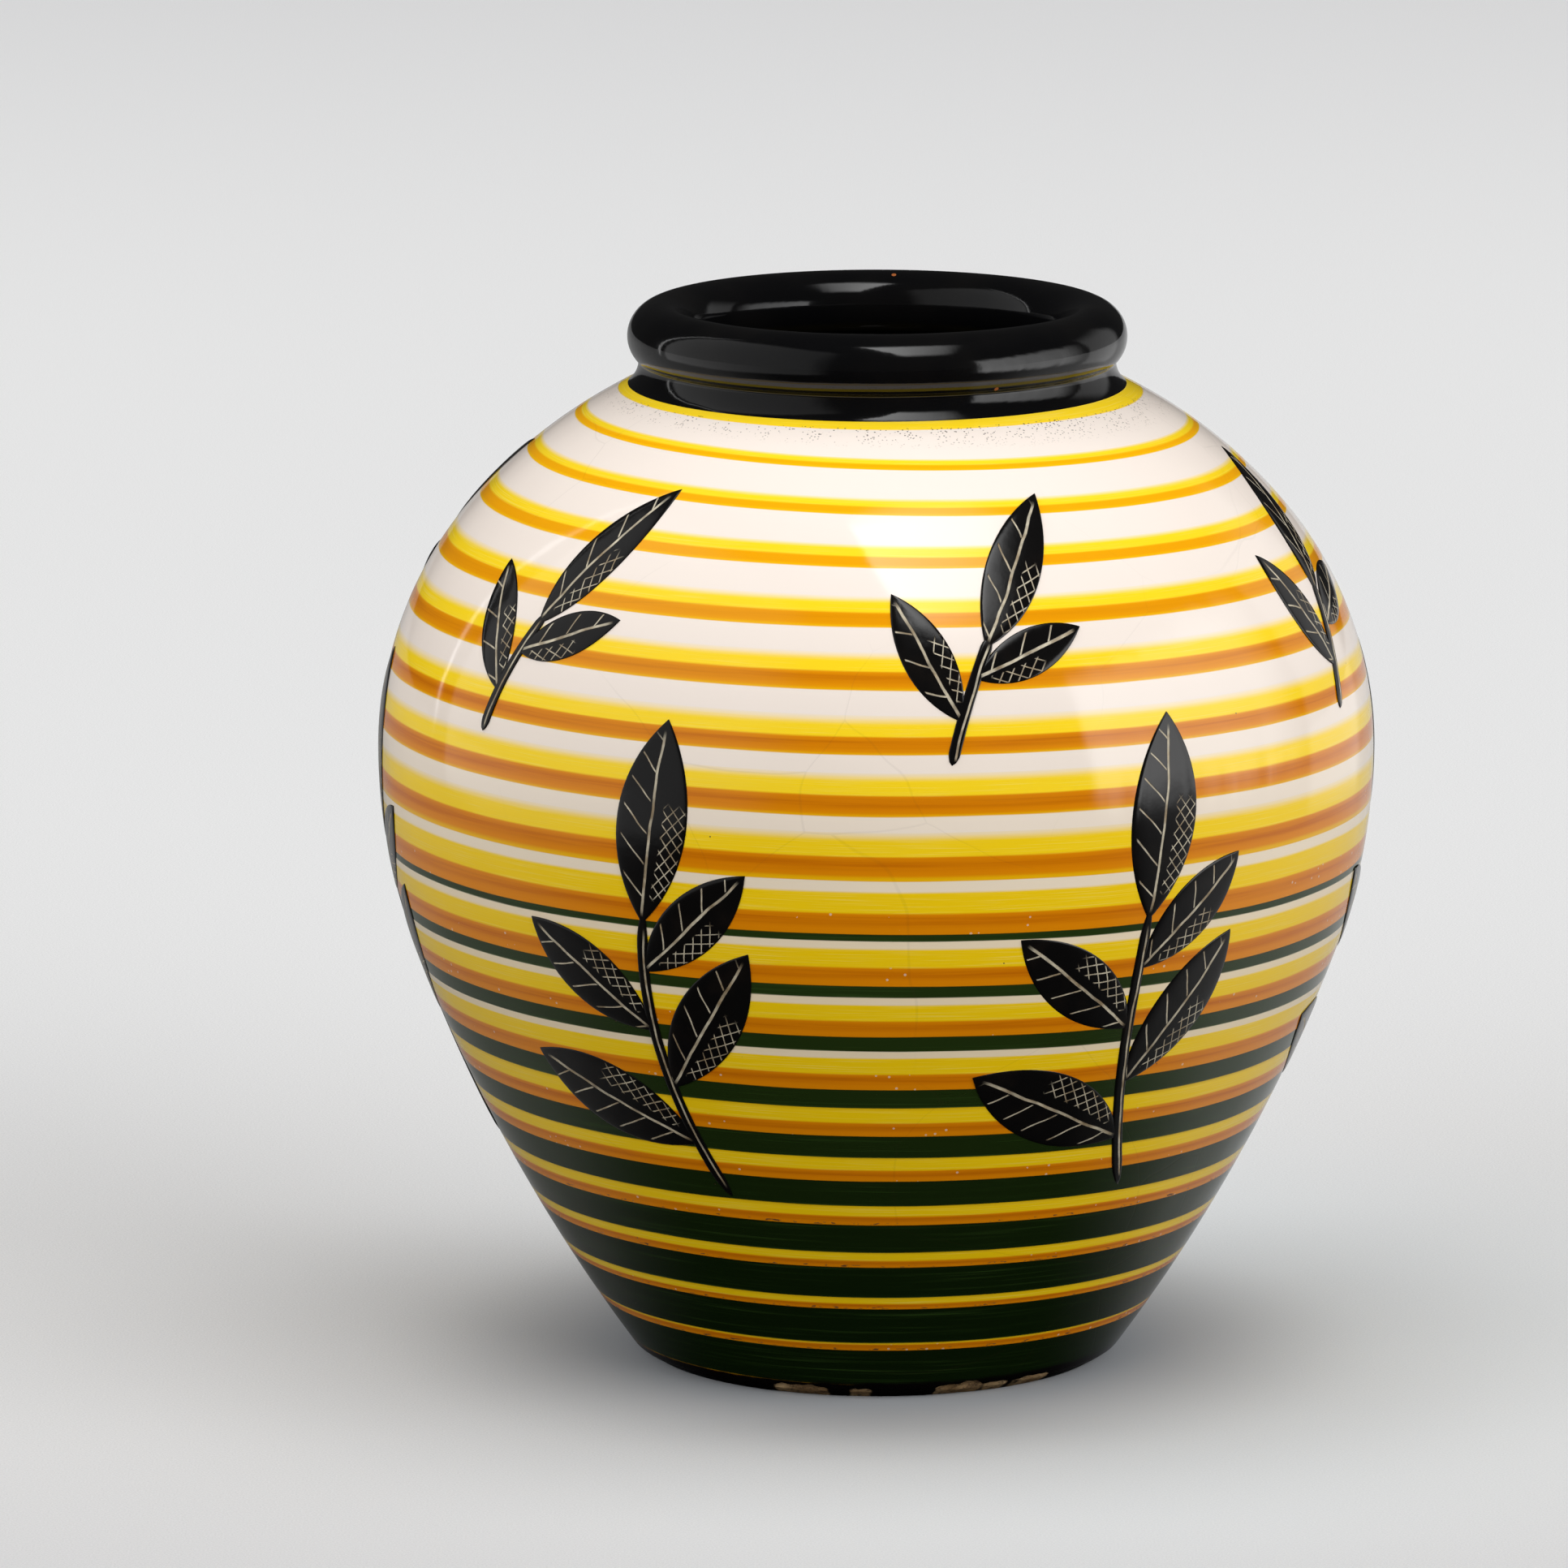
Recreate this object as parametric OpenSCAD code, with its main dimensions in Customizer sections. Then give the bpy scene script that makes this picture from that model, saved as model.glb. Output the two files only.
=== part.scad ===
// Globe vase in striped earthenware: a bowl and a dome joined at the belly, on a turned foot,
// with a short collar under a rolled rim. Slip seams join the clay members, glaze coats cover
// them, and leaf sprigs stand on the coat in raised slip.
// Millimetres, +Z up. The foot stands on z = 0 and Z is the axis of the mouth.

/* [Body] */
// Height from the foot to the top of the rim
vase_h = 220; // [190:1:280]
// Diameter over the glaze at the widest line
belly_d = 206; // [170:1:260]
// Height of the widest line
belly_h = 127.5; // [100:0.5:150]
// Diameter over the glaze at the foot
foot_d = 99; // [80:1:130]
// Lean of the bowl where its curve changes, against its mean lean
bowl_break = 0.9; // [0.7:0.01:1.1]
// How far the lean at the foot goes on from the mean lean towards level
bowl_flat = 0.2; // [0.1:0.01:0.4]
// Lean of the dome where its curve changes, against its mean lean
dome_break = 1.16; // [0.9:0.01:1.3]
// How far the lean at the neck goes on from the mean lean towards level
dome_flat = 0.53; // [0.3:0.01:0.7]

/* [Clay wall] */
// Thickness of the thrown wall
wall_t = 6; // [4:0.5:10]
// Thickness of the bowl's floor
floor_t = 8; // [5:0.5:14]
// Radius of the inside cove between floor and wall
floor_cove = 14; // [6:1:24]
// Depth of the V joint at the widest line
seam_depth = 2; // [0.5:0.5:4]
// Thickness of the slip in each seam
slip_t = 0.5; // [0.3:0.1:1]

/* [Foot] */
// Height of the foot ring, with its seam
foot_h = 6; // [3:0.5:12]
// Width of the ring's standing face, with its bevel
foot_w = 10; // [6:0.5:16]
// Bevel round the foot, left bare by the glaze
foot_bevel = 1.5; // [0.5:0.1:2.5]

/* [Neck and rim] */
// Diameter over the glaze of the rolled rim
rim_d = 103; // [84:1:130]
// Thickness of the roll
roll_d = 13.8; // [10:0.2:18]
// Depth of the crease under the roll, in from the rim
crease_in = 2.3; // [1:0.1:4]
// Spread of the collar from the crease out to its base
neck_flare = 2.2; // [1:0.1:5]
// Height of the collar from its base to the crease
neck_rise = 4.7; // [3:0.1:12]
// Thickness of the collar at the crease
collar_t = 6; // [4:0.5:8]

/* [Glaze] */
// Thickness of the outer coats
glaze_t = 0.4; // [0.3:0.05:0.8]
// Thickness of the coat on the inside
lining_t = 0.4; // [0.3:0.05:0.8]

/* [Bands] */
// Number of painted bands from the neck to the foot, where the wall has room for them
band_count = 19; // [8:1:19]
// Distance from the first band to the next, along the wall
band_pitch = 11.8; // [11:0.1:14]
// How much each distance gains on the one above it
band_gain = 0.05; // [0:0.01:0.2]
// Width of the single line under the neck
line_w = 2.7; // [1:0.1:4]
// Number of narrow bands below that line
narrow_count = 3; // [0:1:6]
// Width of one stroke of a narrow band
narrow_w = 2; // [1:0.1:3]
// Width of a full yellow stroke
yellow_w = 4; // [2:0.1:5]
// Width of a full orange stroke
orange_w = 3.6; // [2:0.1:5]
// First band with a green stroke
green_from = 9; // [4:1:14]
// Width of the first green stroke
green_w = 0.8; // [0.5:0.1:2]
// How much each green stroke gains on the one above it
green_gain = 1.2; // [0.4:0.1:1.4]
// White left under a green stroke
green_gap = 0.7; // [0.3:0.1:1.5]
// Least width of the two warm strokes together
warm_least = 0.9; // [0.5:0.1:2]

/* [Sprigs] */
// Height of the slip above the glaze
sprig_rise = 0.3; // [0.2:0.05:0.6]
// Number of sprigs in each row
sprig_count = 6; // [3:1:7]
// Turn of the first sprig on the belly from the front
belly_turn = -22; // [-60:1:60]
// Turn of the first sprig on the shoulder from the front
shoulder_turn = 8; // [-60:1:60]
// Height of the stalk's foot on the belly
belly_sprig_z = 48; // [30:1:80]
// Height of the stalk's foot on the shoulder
shoulder_sprig_z = 142; // [125:1:160]
// Tilt of a belly sprig
belly_tilt = 26; // [-40:1:40]
// Tilt of a shoulder sprig
shoulder_tilt = -14; // [-40:1:40]
// Length of a belly stalk
belly_stalk = 64; // [40:1:80]
// Length of a shoulder stalk
shoulder_stalk = 26; // [15:1:40]
// Radius that a stalk bends to
stalk_bend = 110; // [60:1:200]
// Thickness of a stalk
stalk_w = 2.4; // [1.5:0.1:4]
// Pairs of leaves on a belly stalk
belly_pairs = 2; // [1:1:4]
// Pairs of leaves on a shoulder stalk
shoulder_pairs = 1; // [1:1:3]
// Length of a belly leaf at the stalk's foot
belly_leaf = 42; // [24:1:48]
// Length of a shoulder leaf at the stalk's foot
shoulder_leaf = 30; // [15:1:36]
// Width of a leaf against its length
leaf_plump = 0.37; // [0.25:0.01:0.5]
// Share of its length that a leaf loses on the way to the tip
leaf_taper = 0.3; // [0:0.05:0.5]
// Angle between a leaf and its stalk
leaf_lean = 46; // [25:1:65]

/* [Hidden] */
$fn = 180;

// Neck and rim, worked down from the rim
roll_r = roll_d / 2;
roll_c = [rim_d / 2 - roll_r, vase_h - roll_r];
waist_r = rim_d / 2 - crease_in;
neck_r = waist_r + neck_flare;
crease_h = roll_c.y - crease_drop(0);
neck_h = crease_h - neck_rise;
seat_h = roll_c.y - crease_drop(glaze_t);
collar_in = waist_r - glaze_t - collar_t;
throat_top = seat_h - glaze_t;
cove_r = (neck_flare ^ 2 + neck_rise ^ 2) / (2 * neck_flare);
cove_c = [waist_r + cove_r, crease_h];

// Half outlines of the body, as two tangent arcs each way from the widest line
belly_r = belly_d / 2;
foot_r = foot_d / 2;
bowl_lean = atan2(belly_r - foot_r, belly_h);
bowl_a = bowl_break * bowl_lean;
bowl_b = bowl_lean + (90 - bowl_lean) * bowl_flat;
bowl_arcs = tangent_arcs(belly_r - foot_r, belly_h, bowl_a, bowl_b);
bowl_c = [belly_r - bowl_arcs[0], belly_h];
low_c = bowl_c + (bowl_arcs[1] - bowl_arcs[0]) * [-cos(bowl_a), sin(bowl_a)];
dome_rise = neck_h - belly_h;
dome_lean = atan2(belly_r - neck_r, dome_rise);
dome_a = dome_break * dome_lean;
dome_b = dome_lean + (90 - dome_lean) * dome_flat;
dome_arcs = tangent_arcs(belly_r - neck_r, dome_rise, dome_a, dome_b);
dome_c = [belly_r - dome_arcs[0], belly_h];
top_c = dome_c + (dome_arcs[1] - dome_arcs[0]) * [-cos(dome_a), -sin(dome_a)];

// The four arcs from the foot up
arc_r = [bowl_arcs[1], bowl_arcs[0], dome_arcs[0], dome_arcs[1]];
arc_c = [low_c, bowl_c, dome_c, top_c];
arc_last = len(arc_r) - 1;

// Lengths of those arcs, from the foot up, and their sum
low_len = arc_len(bowl_arcs[1], bowl_b - bowl_a);
bowl_len = low_len + arc_len(bowl_arcs[0], bowl_a);
dome_len = bowl_len + arc_len(dome_arcs[0], dome_a);
wall_len = dome_len + arc_len(dome_arcs[1], dome_b - dome_a);

// The lowest band that the wall has room for, with green under it down to the foot
last_band = max([for (k = [0:band_count - 1]) if (green_top(k) > foot_bevel + green_w) k]);

// Depth of the clay's inner face below the glaze, and the inside floor
inner_face = glaze_t + wall_t;
floor_z = foot_h + floor_t;
foot_in = foot_edge(0) - foot_w;
seam_out = belly_r - glaze_t;
seam_in = belly_r - inner_face;
span = belly_d + vase_h;
hair = 0.002;

// Drop from the roll's centre to the crease, for a face set in below the glaze
function crease_drop(inset) = sqrt((roll_r - inset) ^ 2 - (roll_r - crease_in - inset) ^ 2);

// Radii of two tangent arcs that start upright, meet at lean a and end at lean b
function tangent_arcs(run, rise, a, b) =
    let (
        turn = (1 - cos(a)) * (sin(b) - sin(a)) - (cos(a) - cos(b)) * sin(a),
        first = (run * (sin(b) - sin(a)) - rise * (cos(a) - cos(b))) / turn,
        second = ((1 - cos(a)) * rise - sin(a) * run) / turn
    ) [first, second];

function arc_len(radius, turn) = radius * turn * PI / 180;
function arc_turn(radius, length) = length / radius * 180 / PI;

// Radius of the clay at a height near the foot
function foot_edge(z) = low_c.x + sqrt((bowl_arcs[1] - glaze_t) ^ 2 - (z - low_c.y) ^ 2);

// Height of the point at a distance along the wall from the foot
function wall_z(s) =
    s < low_len ? low_c.y - bowl_arcs[1] * sin(bowl_b - arc_turn(bowl_arcs[1], s)) :
    s < bowl_len ? belly_h - bowl_arcs[0] * sin(arc_turn(bowl_arcs[0], bowl_len - s)) :
    s < dome_len ? belly_h + dome_arcs[0] * sin(arc_turn(dome_arcs[0], s - bowl_len)) :
    top_c.y + dome_arcs[1] * sin(dome_a + arc_turn(dome_arcs[1], s - dome_len));

// Place and strokes of a painted band, counted from 0 under the neck
function band_top(k) = wall_len - k * (band_pitch + band_gain * (k - 1) / 2);
function green_stroke(k) = k < green_from ? 0 : green_w + green_gain * (k - green_from);
function warm_room(k) = max(warm_least, band_pitch + band_gain * k - green_stroke(k) - green_gap);
function warm_share(k) = min(1, warm_room(k) / (yellow_w + orange_w));
function yellow_stroke(k) = k == 0 ? line_w : k <= narrow_count ? narrow_w : yellow_w * warm_share(k);
function orange_stroke(k) = k == 0 ? 0 : k <= narrow_count ? narrow_w : orange_w * warm_share(k);
function orange_top(k) = band_top(k) - yellow_stroke(k);
function green_top(k) = orange_top(k) - orange_stroke(k);
function band_end(k) = k == last_band ? 0 : green_top(k) - green_stroke(k);

// Everything between two heights, out to a radius
module level_strip(z0, z1, reach = span) {
    polygon([[0, z0], [reach, z0], [reach, z1], [0, z1]]);
}

// The part of a disc between two heights
module arc_strip(centre, radius, z0, z1) {
    intersection() {
        level_strip(z0, z1);
        translate(centre)
            circle(radius);
    }
}

// Heights at which the body's arcs meet, on a face drawn in from the outside of the glaze
function arc_ends(inset) = [
    0, belly_h - (bowl_arcs[0] - inset) * sin(bowl_a), belly_h,
    belly_h + (dome_arcs[0] - inset) * sin(dome_a), neck_h
];

// A fuller arc stands a hair proud of each flatter one, so that they cross cleanly where they touch
function proud(i) = hair * len([for (r = arc_r) if (r > arc_r[i]) r]);

// Filled half outline of the body, drawn in from the outside of the glaze, as discs that touch.
// A disc runs on past its end where the next disc is larger and holds it, and a core fills in
// to the axis where a disc's centre stands off it.
module body_outline(inset) {
    ends = arc_ends(inset);
    for (i = [0:arc_last]) {
        first = i > 0 && arc_r[i - 1] > arc_r[i] ? i - 1 : i;
        last = i < arc_last && arc_r[i + 1] > arc_r[i] ? i + 2 : i + 1;
        arc_strip(arc_c[i], arc_r[i] + proud(i) - inset, ends[first], ends[last]);
        if (arc_c[i].x > 0)
            level_strip(ends[i], ends[i + 1], arc_c[i].x);
    }
}

// Filled half outline of the hollow, with its cove and throat, drawn in by a coat
module hollow(coat) {
    cove = floor_cove - coat;
    bottom = floor_z + coat;
    face = bowl_arcs[1] - inner_face - coat;
    cove_x = low_c.x + sqrt((face - cove) ^ 2 - (bottom + cove - low_c.y) ^ 2);
    touch = low_c + ([cove_x, bottom + cove] - low_c) * face / (face - cove);
    intersection() {
        body_outline(inner_face + coat);
        level_strip(touch.y, neck_h);
    }
    translate([cove_x, bottom + cove])
        circle(cove);
    polygon([[0, bottom], [cove_x, bottom], touch, [0, touch.y]]);
    translate([0, belly_h])
        square([collar_in - coat, throat_top - belly_h]);
}

// Clay of the bowl and the dome together
module clay_section() {
    difference() {
        intersection() {
            body_outline(glaze_t);
            level_strip(foot_h, neck_h);
        }
        hollow(0);
    }
}

// Everything below the V joint, lifted by the slip
module below_seam(lift) {
    polygon([
        [0, 0], [span, 0], [span, belly_h + lift], [seam_out, belly_h + lift],
        [(seam_out + seam_in) / 2, belly_h + lift - seam_depth], [seam_in, belly_h + lift], [0, belly_h + lift]
    ]);
}

// Collar from its base to a top height, drawn in from the outside of the glaze
module collar_section(inset, top) {
    difference() {
        translate([collar_in, neck_h])
            square([neck_r - collar_in, top - neck_h]);
        translate(cove_c)
            circle(cove_r + inset);
        translate([waist_r - inset, crease_h])
            square([span, roll_d]);
    }
}

module roll_section(inset) {
    translate(roll_c)
        circle(roll_r - inset);
}

// Outer glaze coat between two distances along the wall
module coat_ring(s0, s1) {
    rotate_extrude()
        intersection() {
            difference() {
                body_outline(0);
                body_outline(glaze_t);
            }
            level_strip(max(foot_bevel, wall_z(s0)), wall_z(s1));
        }
}

// Half of a stalk and its leaves grow to each side of a bent line that starts upright at the origin
function stalk_point(t) = stalk_bend * [1 - cos(t), sin(t)];

module leaf(length) {
    width = length * leaf_plump;
    arc = (length ^ 2 + width ^ 2) / (4 * width);
    intersection_for (side = [-1, 1])
        translate([side * (arc - width / 2), length / 2])
            circle(arc);
}

module sprig(stalk, pairs, leaf_length) {
    turn = arc_turn(stalk_bend, stalk);
    steps = 2 * pairs;
    intersection() {
        translate([stalk_bend, 0])
            difference() {
                circle(stalk_bend + stalk_w / 2);
                circle(stalk_bend - stalk_w / 2);
            }
        polygon([[stalk_bend, 0], [-span, 0], stalk_point(turn) + span * [-cos(turn), sin(turn)]]);
    }
    for (k = [0:steps - 1]) {
        t = turn * (k + 1) / (steps + 1);
        translate(stalk_point(t))
            rotate(-t + leaf_lean * (k % 2 == 0 ? 1 : -1))
            leaf(leaf_length * (1 - leaf_taper * t / turn));
    }
    translate(stalk_point(turn))
        rotate(-turn)
        translate([0, -stalk_w])
        leaf(leaf_length);
}

// A row of sprigs drawn level through the raised coat
module sprig_row(first, z, tilt, stalk, pairs, leaf_length) {
    for (k = [0:sprig_count - 1])
        rotate(first + k * 360 / sprig_count)
            intersection() {
                rotate_extrude()
                    difference() {
                        body_outline(-sprig_rise);
                        body_outline(0);
                    }
                rotate([90, 0, 0])
                    linear_extrude(span)
                    translate([0, z])
                    rotate(tilt)
                    sprig(stalk, pairs, leaf_length);
            }
}

module foot_ring() {
    color("#8a6b4c")
        rotate_extrude()
        difference() {
            intersection() {
                body_outline(glaze_t);
                level_strip(0, foot_h - slip_t);
            }
            square([foot_in, foot_h]);
            polygon([
                [foot_edge(0) - foot_bevel, 0], [foot_edge(foot_h), 0],
                [foot_edge(foot_h), foot_bevel], [foot_edge(foot_bevel), foot_bevel]
            ]);
        }
}

module foot_slip() {
    color("#9c7d5c")
        rotate_extrude()
        difference() {
            intersection() {
                body_outline(glaze_t);
                level_strip(foot_h - slip_t, foot_h);
            }
            square([foot_in, foot_h]);
        }
}

module lower_bowl() {
    color("#b08f6c")
        rotate_extrude()
        intersection() {
            clay_section();
            below_seam(0);
        }
}

module belly_slip() {
    color("#9c7d5c")
        rotate_extrude()
        intersection() {
            clay_section();
            difference() {
                below_seam(slip_t);
                below_seam(0);
            }
        }
}

module shoulder_dome() {
    color("#b89873")
        rotate_extrude()
        difference() {
            clay_section();
            below_seam(slip_t);
        }
}

module neck_slip() {
    color("#9c7d5c")
        rotate_extrude()
        intersection() {
            collar_section(glaze_t, seat_h);
            level_strip(neck_h, neck_h + slip_t);
        }
}

module neck_collar() {
    color("#b08f6c")
        rotate_extrude()
        intersection() {
            collar_section(glaze_t, seat_h);
            level_strip(neck_h + slip_t, seat_h - slip_t);
        }
}

module rim_slip() {
    color("#9c7d5c")
        rotate_extrude()
        intersection() {
            collar_section(glaze_t, seat_h);
            level_strip(seat_h - slip_t, seat_h);
        }
}

module rolled_rim() {
    color("#b89873")
        rotate_extrude()
        intersection() {
            roll_section(glaze_t);
            level_strip(seat_h, vase_h);
        }
}

module white_glaze() {
    color("#ece4dd")
        for (k = [0:last_band - 1])
            coat_ring(band_top(k + 1), band_end(k));
}

module yellow_bands() {
    color("#eac522")
        for (k = [0:last_band])
            coat_ring(orange_top(k), band_top(k));
}

module orange_bands() {
    color("#cf7f10")
        for (k = [1:last_band])
            coat_ring(green_top(k), orange_top(k));
}

module green_bands() {
    color("#1d3315")
        for (k = [0:last_band])
            if (green_top(k) > band_end(k))
                coat_ring(band_end(k), green_top(k));
}

module black_glaze() {
    color("#141414")
        rotate_extrude()
        difference() {
            union() {
                roll_section(0);
                collar_section(0, crease_h);
            }
            intersection() {
                roll_section(glaze_t);
                level_strip(seat_h, vase_h);
            }
            collar_section(glaze_t, seat_h);
            square([collar_in, throat_top]);
        }
}

module lining_glaze() {
    color("#1e1b18")
        rotate_extrude()
        difference() {
            hollow(0);
            hollow(lining_t);
        }
}

module belly_sprigs() {
    color("#101010")
        sprig_row(belly_turn, belly_sprig_z, belly_tilt, belly_stalk, belly_pairs, belly_leaf);
}

module shoulder_sprigs() {
    color("#101010")
        sprig_row(shoulder_turn, shoulder_sprig_z, shoulder_tilt, shoulder_stalk, shoulder_pairs, shoulder_leaf);
}

foot_ring();
foot_slip();
lower_bowl();
belly_slip();
shoulder_dome();
neck_slip();
neck_collar();
rim_slip();
rolled_rim();
white_glaze();
yellow_bands();
orange_bands();
green_bands();
black_glaze();
lining_glaze();
belly_sprigs();
shoulder_sprigs();
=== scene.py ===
import math
import bpy
import numpy as np
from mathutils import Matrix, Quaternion, Vector


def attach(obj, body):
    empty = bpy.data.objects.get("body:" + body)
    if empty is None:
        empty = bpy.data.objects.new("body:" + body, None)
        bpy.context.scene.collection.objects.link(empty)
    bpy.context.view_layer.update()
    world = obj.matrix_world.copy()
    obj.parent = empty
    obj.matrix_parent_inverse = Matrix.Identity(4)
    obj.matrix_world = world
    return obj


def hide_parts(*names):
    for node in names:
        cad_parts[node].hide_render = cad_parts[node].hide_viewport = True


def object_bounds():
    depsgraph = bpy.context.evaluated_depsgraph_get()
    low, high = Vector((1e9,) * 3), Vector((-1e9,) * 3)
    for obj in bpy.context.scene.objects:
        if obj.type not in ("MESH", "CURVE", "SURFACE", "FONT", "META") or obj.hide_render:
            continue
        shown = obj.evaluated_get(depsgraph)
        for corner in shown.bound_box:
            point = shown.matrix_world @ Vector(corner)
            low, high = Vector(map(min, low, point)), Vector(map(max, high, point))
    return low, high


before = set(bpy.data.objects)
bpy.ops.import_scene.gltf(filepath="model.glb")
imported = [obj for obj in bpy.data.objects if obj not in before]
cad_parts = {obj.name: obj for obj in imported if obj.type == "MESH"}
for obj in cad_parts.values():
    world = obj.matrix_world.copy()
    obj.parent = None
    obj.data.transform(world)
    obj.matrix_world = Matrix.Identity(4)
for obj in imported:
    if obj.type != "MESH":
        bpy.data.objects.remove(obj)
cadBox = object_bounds()
scene = bpy.context.scene
vase = bpy.data.collections.new("vase")  # what a lamp lights that leaves out the floor
scene.view_settings.view_transform = "Standard"
print("frame loaded:", len(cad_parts), "nodes")

# All shapes below are worked out in millimetres, +Z up, and turned into metres when a mesh is made.
# An angle round the vase is 0 at the front (-Y) and grows towards +X.


def srgb(r, g, b):
    # a screen colour of 0 to 255 as the linear colour that shaders take
    part = np.array([r, g, b]) / 255
    linear = np.where(part <= 0.04045, part / 12.92, ((part + 0.055) / 1.055) ** 2.4)
    return (*linear.tolist(), 1.0)


# Camera at the photograph's angle
photo = dict(place=(-0.0192, -2.3562, 0.5753), pitch=79.037, lens=265.6, sensor=36.0)


def makeCamera():
    camera = bpy.data.objects.new("camera", bpy.data.cameras.new("camera"))
    camera.location = photo["place"]
    camera.rotation_euler = (math.radians(photo["pitch"]), 0, 0)
    camera.data.sensor_width = photo["sensor"]
    camera.data.lens = photo["lens"]
    scene.collection.objects.link(camera)
    scene.camera = camera


makeCamera()
print("camera placed")


class Val:  # one socket of a node tree: sums and products of these add Math nodes
    def __init__(self, tree, out=None):
        self.tree = tree
        self.out = out

    def node(self, kind, settings, links, output=0):
        made = self.tree.nodes.new(kind)
        for name, value in settings.items():
            setattr(made, name, value)
        for name, value in links.items():
            if isinstance(value, Val):
                self.tree.links.new(value.out, made.inputs[name])
            else:
                made.inputs[name].default_value = value
        return Val(self.tree, made.outputs[output] if made.outputs else None)

    def part(self, output):
        return Val(self.tree, self.out.node.outputs[output])

    def math(self, operation, *values):
        return self.node("ShaderNodeMath", {"operation": operation}, dict(enumerate((self, *values))))

    def __add__(self, other):
        return self.math("ADD", other)

    def __sub__(self, other):
        return self.math("SUBTRACT", other)

    def __rsub__(self, other):
        return self.node("ShaderNodeMath", {"operation": "SUBTRACT"}, {0: other, 1: self})

    def __mul__(self, other):
        return self.math("MULTIPLY", other)

    def __truediv__(self, other):
        return self.math("DIVIDE", other)

    __radd__ = __add__
    __rmul__ = __mul__

    def size(self):
        return self.math("ABSOLUTE")

    def least(self, other):
        return self.math("MINIMUM", other)

    def most(self, other):
        return self.math("MAXIMUM", other)

    def above(self, other):
        return self.math("GREATER_THAN", other)

    def below(self, other):
        return self.math("LESS_THAN", other)

    def fade(self, start, end):  # 0 up to start and 1 from end, smoothly; start may be the larger
        return self.node("ShaderNodeMapRange", {"interpolation_type": "SMOOTHSTEP"},
                         {"Value": self, "From Min": start, "From Max": end})

    def mix(self, first, second):  # colour from first at 0 to second at 1
        return self.node("ShaderNodeMix", {"data_type": "RGBA"}, {0: self, 6: first, 7: second}, 2)

    def noise(self, scale, detail=2.0, roughness=0.5):
        return self.node("ShaderNodeTexNoise", {},
                         {"Vector": self, "Scale": scale, "Detail": detail, "Roughness": roughness})

    def cells(self, scale, feature="F1", output="Distance"):
        return self.node("ShaderNodeTexVoronoi", {"feature": feature}, {"Vector": self, "Scale": scale}, output)

    def attribute(self, name):
        return self.node("ShaderNodeAttribute", {"attribute_name": name}, {}, "Fac")

    def join(self, x, y, z):
        return self.node("ShaderNodeCombineXYZ", {}, {0: x, 1: y, 2: z})

    def bump(self, strength, distance, normal=None):
        links = {"Strength": strength, "Distance": distance, "Height": self}
        if normal is not None:
            links["Normal"] = normal
        return self.node("ShaderNodeBump", {}, links)


def startMaterial(name):
    # a new material, and its Object coordinates to build on
    material = bpy.data.materials.new(name)
    material.use_nodes = True
    material.node_tree.nodes.clear()
    place = Val(material.node_tree).node("ShaderNodeTexCoord", {}, {}, "Object")
    return material, place


def endMaterial(place, **sockets):
    # a Principled shader as the surface; sockets are named with _ for a space
    links = {name.replace("_", " "): value for name, value in sockets.items()}
    shader = place.node("ShaderNodeBsdfPrincipled", {}, links)
    place.node("ShaderNodeOutputMaterial", {}, {"Surface": shader})


def skin(points, loop, **values):
    # rows of rings: each ring wraps, and the rows close into a loop or end in two poles
    rows, columns = points.shape[:2]
    here = np.arange(columns)
    after = (here + 1) % columns
    if loop:
        row = np.arange(rows)[:, None] * columns
        up = (np.arange(rows)[:, None] + 1) % rows * columns
        quads = np.stack([row + here, row + after, up + after, up + here], -1).reshape(-1, 4)
        pick = {name: grid.reshape(-1) for name, grid in values.items()}
        return points.reshape(-1, 3), quads.tolist(), pick
    row = np.arange(rows - 3)[:, None] * columns + 1
    up = row + columns
    quads = np.stack([row + here, row + after, up + after, up + here], -1).reshape(-1, 4)
    last = (rows - 2) * columns + 1
    ring = last - columns
    low = np.stack([np.zeros_like(here), 1 + after, 1 + here], -1)
    high = np.stack([np.full_like(here, last), ring + here, ring + after], -1)

    def capped(grid):
        return np.concatenate([grid[:1, 0], grid[1:-1].reshape(-1, *grid.shape[2:]), grid[-1:, 0]])

    pick = {name: capped(grid) for name, grid in values.items()}
    return capped(points), quads.tolist() + low.tolist() + high.tolist(), pick


def makePiece(name, skins, material, slot, *nodes):
    # one object from one or more skins, in place of the CAD nodes named last
    verts = np.concatenate([part[0] for part in skins]) * 0.001
    faces = []
    start = 0
    for points, corners, _ in skins:
        faces += [[start + c for c in corner] for corner in corners]
        start += len(points)
    mesh = bpy.data.meshes.new(name)
    mesh.from_pydata(verts, [], faces)
    for key in skins[0][2]:
        spread = np.concatenate([part[2][key] for part in skins]).astype(np.float32)
        mesh.attributes.new(key, "FLOAT", "POINT").data.foreach_set("value", spread)
    mesh.polygons.foreach_set("use_smooth", np.ones(len(mesh.polygons), bool))
    mesh.set_sharp_from_angle(angle=math.radians(50))
    mesh.materials.append(material)
    mesh.validate()
    piece = bpy.data.objects.new(name, mesh)
    scene.collection.objects.link(piece)
    vase.objects.link(piece)
    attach(piece, "root")
    if nodes:
        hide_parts(*nodes)


# Body wall: four tangent arcs from the foot up, two each way from the widest line
body = dict(bellyR=103.0, bellyH=127.5, footR=49.5, bowlBreak=0.9, bowlFlat=0.2, domeBreak=1.16,
            domeFlat=0.53, wall=6.0, coat=0.4)
rim = dict(radius=51.5, roll=6.9, creaseIn=2.3, flare=2.2, rise=4.7, collar=6.0, pool=0.9, columns=300,
           coveRows=14, poolRows=8, rollRows=84, underRows=40, backRows=8)

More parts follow.
